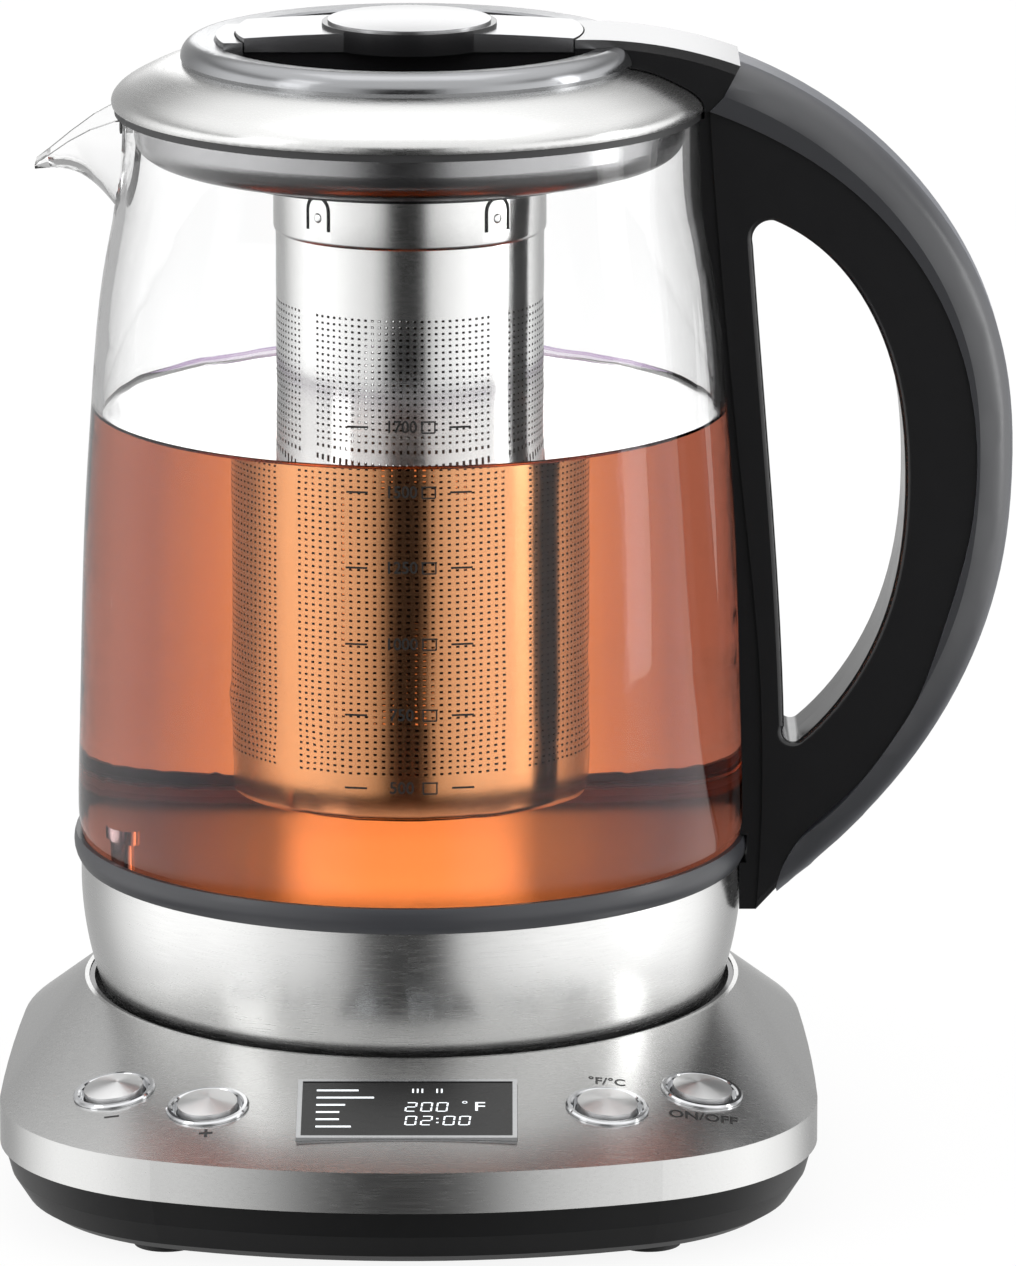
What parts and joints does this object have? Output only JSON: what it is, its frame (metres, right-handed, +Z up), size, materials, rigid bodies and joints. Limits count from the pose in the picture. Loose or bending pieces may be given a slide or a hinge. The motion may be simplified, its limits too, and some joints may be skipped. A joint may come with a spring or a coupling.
{
  "type": "electric tea maker",
  "caption": "Glass kettle with a tea infuser, steel cup and side handle, standing on a wide steel power base with a display and round keys.",
  "frame": {"origin": "the middle of the whole footprint, on the surface that the base stands on", "axes": "+Z up, the handle along +X, the spout along -X, the keys and display along -Y"},
  "size_m": [0.223, 0.2138, 0.2522],
  "materials": {
    "brushed_steel": "brushed",
    "drawn_steel": "satin",
    "chrome_trim": "polished",
    "spun_aluminium": "spun",
    "satin_metal": "satin",
    "gloss_black": "gloss",
    "satin_black": "satin",
    "slate_grip": "satin",
    "ring_grey": "satin",
    "clear_glass": "polished",
    "display_glass": "polished",
    "clear_cap": "gloss",
    "feet_rubber": "matte",
    "silicone": "matte",
    "circuit_board": "satin",
    "component_black": "matte",
    "contact_brass": "polished",
    "cast_aluminium": "matte",
    "screw_steel": "satin"
  },
  "bodies": {
    "base": {"base_top_cover": "brushed_steel", "base_bottom_housing": "satin_black", "well_liner": "gloss_black", "rubber_feet": "feet_rubber", "base_screws": "screw_steel", "control_board": "circuit_board", "display_frame": "chrome_trim", "display_window": "display_glass", "display_module": "component_black", "buzzer": "component_black", "power_board": "circuit_board", "power_relay": "component_black", "power_transformer": "component_black", "base_connector": "satin_black", "base_contact_ring": "contact_brass", "base_contact_pin": "contact_brass", "cord_gland": "feet_rubber", "key_bezel_1": "chrome_trim", "key_switch_1": "component_black", "key_bezel_2": "chrome_trim", "key_switch_2": "component_black", "key_bezel_3": "chrome_trim", "key_switch_3": "component_black", "key_bezel_4": "chrome_trim", "key_switch_4": "component_black"},
    "coupler": {"jug_connector": "satin_black", "jug_contact_ring": "contact_brass"},
    "jug": {"steel_cup": "brushed_steel", "jug_bottom_cover": "satin_black", "heating_plate": "drawn_steel", "heating_element": "cast_aluminium", "temperature_probe": "drawn_steel", "glass_gasket": "silicone", "trim_ring": "ring_grey", "glass_body": "clear_glass", "collar_dome": "brushed_steel", "collar_insert": "gloss_black", "collar_skirt": "drawn_steel", "collar_seal": "silicone", "spout_bridge": "satin_black", "rim_ring": "chrome_trim", "handle_screws": "screw_steel", "handle_body": "gloss_black", "handle_cover": "slate_grip", "handle_spine": "gloss_black", "handle_arm": "gloss_black", "arm_plate": "satin_metal", "lid_stub": "satin_metal"},
    "lid": {"lid_body": "gloss_black", "lid_strap": "satin_metal", "lid_disc": "clear_cap", "lid_seal": "silicone"},
    "infuser": {"infuser_basket": "drawn_steel", "infuser_collar": "drawn_steel"},
    "outer_left_key": {"key_1": "spun_aluminium"},
    "inner_left_key": {"key_2": "spun_aluminium"},
    "inner_right_key": {"key_3": "spun_aluminium"},
    "outer_right_key": {"key_4": "spun_aluminium"}
  },
  "joints": [
    {"name": "jug_lift", "type": "slide", "parent": "base", "child": "coupler", "axis": [0, 0, 1], "range_m": [0, 0.12]},
    {"name": "jug_swivel", "type": "hinge", "parent": "coupler", "child": "jug", "pos_m": [-0.02213, 0.0186, 0.065], "axis": [0, 0, 1], "continuous": true},
    {"name": "lid_lift", "type": "slide", "parent": "jug", "child": "lid", "axis": [0, 0, 1], "range_m": [0, 0.175]},
    {"name": "infuser_release", "type": "slide", "parent": "lid", "child": "infuser", "axis": [0, 0, -1], "range_m": [0, 0.013]},
    {"name": "outer_left_key_press", "type": "slide", "parent": "base", "child": "outer_left_key", "axis": [0.1406, 0.1404, -0.9801], "range_m": [0, 0.0012], "stiffness_N_per_m": 900, "springref_m": -0.0008},
    {"name": "inner_left_key_press", "type": "slide", "parent": "base", "child": "inner_left_key", "axis": [0.0729, 0.1752, -0.9818], "range_m": [0, 0.0012], "stiffness_N_per_m": 900, "springref_m": -0.0008},
    {"name": "inner_right_key_press", "type": "slide", "parent": "base", "child": "inner_right_key", "axis": [-0.0729, 0.1752, -0.9818], "range_m": [0, 0.0012], "stiffness_N_per_m": 900, "springref_m": -0.0008},
    {"name": "outer_right_key_press", "type": "slide", "parent": "base", "child": "outer_right_key", "axis": [-0.1406, 0.1404, -0.9801], "range_m": [0, 0.0012], "stiffness_N_per_m": 900, "springref_m": -0.0008}
  ]
}
